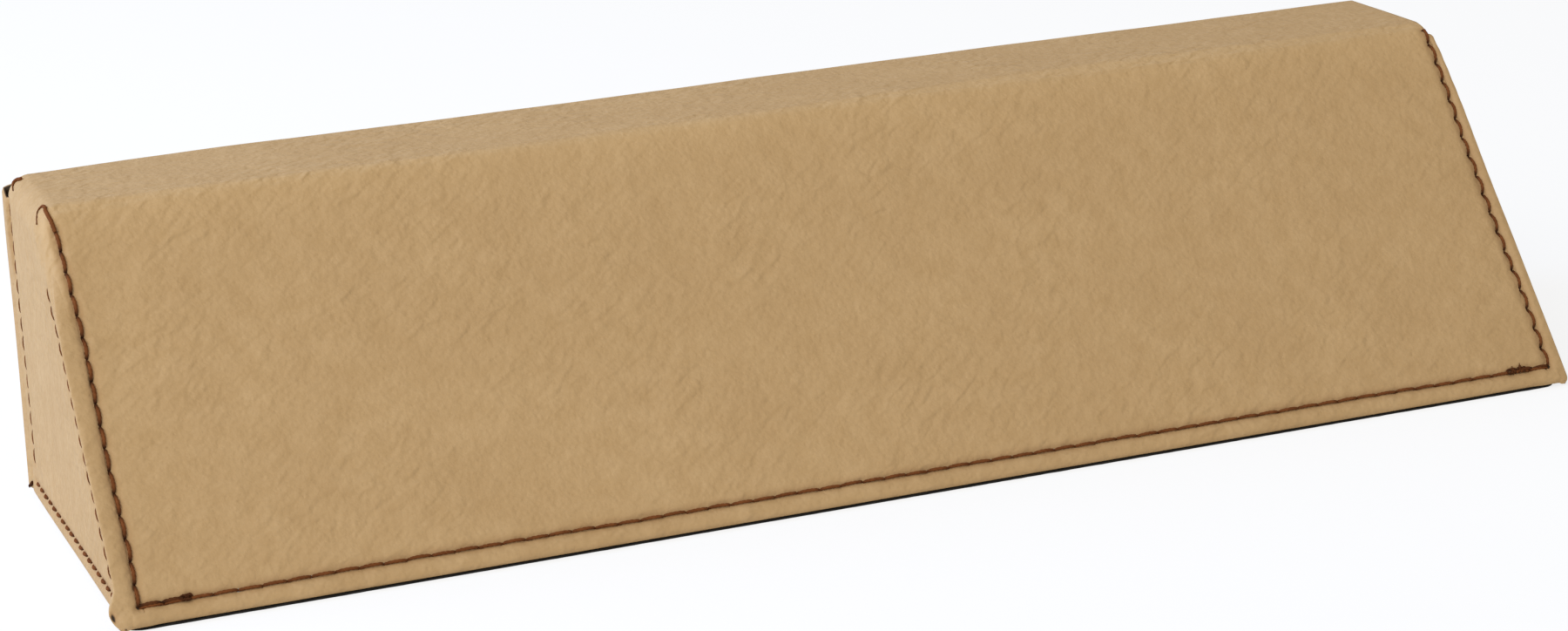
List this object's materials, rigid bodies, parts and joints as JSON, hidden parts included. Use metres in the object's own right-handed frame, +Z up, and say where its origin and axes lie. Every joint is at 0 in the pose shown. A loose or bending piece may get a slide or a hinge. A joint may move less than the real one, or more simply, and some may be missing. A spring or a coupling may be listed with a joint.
{
  "type": "desk name plate",
  "caption": "Free-standing desk wedge in sewn tan leatherette, with a bare sloping face for a name, hollow corner welts, dark stitching, stiffener boards inside and a felted base.",
  "frame": {"origin": "on the desk surface, under the middle of the base", "axes": "+X along the plate, to the right as read from the front; +Y from the sloping front to the back; +Z up"},
  "size_m": [0.2678, 0.0776, 0.0582],
  "materials": {
    "leatherette": "satin embossed tan leatherette",
    "greyboard": "dense grey stiffener board",
    "base_board": "dark faced board",
    "felt": "black felt",
    "thread": "dark reddish-brown twisted polyester thread"
  },
  "bodies": {
    "root": {"leatherette_cover": "leatherette", "front_board": "greyboard", "top_board": "greyboard", "back_board": "greyboard", "left_end_board": "greyboard", "right_end_board": "greyboard", "base_board": "base_board", "base_felt": "felt", "front_left_seam_thread": "thread", "front_left_seam_bobbin_thread": "thread", "front_right_seam_thread": "thread", "front_right_seam_bobbin_thread": "thread", "back_left_seam_thread": "thread", "back_left_seam_bobbin_thread": "thread", "back_right_seam_thread": "thread", "back_right_seam_bobbin_thread": "thread", "front_hem_thread": "thread", "front_hem_bobbin_thread": "thread", "back_hem_thread": "thread", "back_hem_bobbin_thread": "thread", "left_hem_thread": "thread", "left_hem_bobbin_thread": "thread", "right_hem_thread": "thread", "right_hem_bobbin_thread": "thread"}
  },
  "joints": []
}
